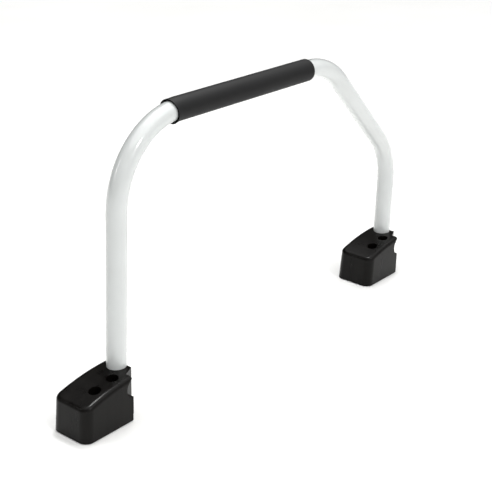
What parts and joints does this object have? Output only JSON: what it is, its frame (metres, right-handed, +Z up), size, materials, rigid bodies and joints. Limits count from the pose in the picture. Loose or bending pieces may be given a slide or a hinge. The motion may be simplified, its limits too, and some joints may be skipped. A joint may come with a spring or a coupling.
{
  "type": "bed assist rail",
  "caption": "Bent white steel tube rail with a dark grip sleeve on its bar, each leg socketed and pinned in a black moulded foot with bolt holes and a saddle notch.",
  "frame": {"origin": "centre of the bounding box in plan, on the underside of the foot pads", "axes": "+X along the rail from the leg with the wide bend to the leg below the sloping run, +Y away from the bolt-hole side, +Z up"},
  "size_m": [0.69, 0.0596, 0.373],
  "materials": {
    "painted_tube": "gloss white powder coat on steel",
    "grip_rubber": "satin dark grey",
    "foot_nylon": "satin moulded",
    "insert_rubber": "matte",
    "zinc_steel": "zinc plated",
    "pad_rubber": "matte, grooved tread",
    "plug_plastic": "moulded",
    "insert_brass": "turned"
  },
  "bodies": {
    "root": {"hoop_tube": "painted_tube", "grip_sleeve": "grip_rubber", "near_foot_body": "foot_nylon", "near_saddle_insert": "insert_rubber", "near_base_plate": "zinc_steel", "near_foot_pad": "pad_rubber", "near_tube_plug": "plug_plastic", "near_leg_pin": "zinc_steel", "near_outer_sleeve": "zinc_steel", "near_outer_washer": "zinc_steel", "near_inner_sleeve": "zinc_steel", "near_inner_washer": "zinc_steel", "near_plate_inserts": "insert_brass", "near_plate_screws": "zinc_steel", "far_foot_body": "foot_nylon", "far_saddle_insert": "insert_rubber", "far_base_plate": "zinc_steel", "far_foot_pad": "pad_rubber", "far_tube_plug": "plug_plastic", "far_leg_pin": "zinc_steel", "far_outer_sleeve": "zinc_steel", "far_outer_washer": "zinc_steel", "far_inner_sleeve": "zinc_steel", "far_inner_washer": "zinc_steel", "far_plate_inserts": "insert_brass", "far_plate_screws": "zinc_steel"}
  },
  "joints": []
}
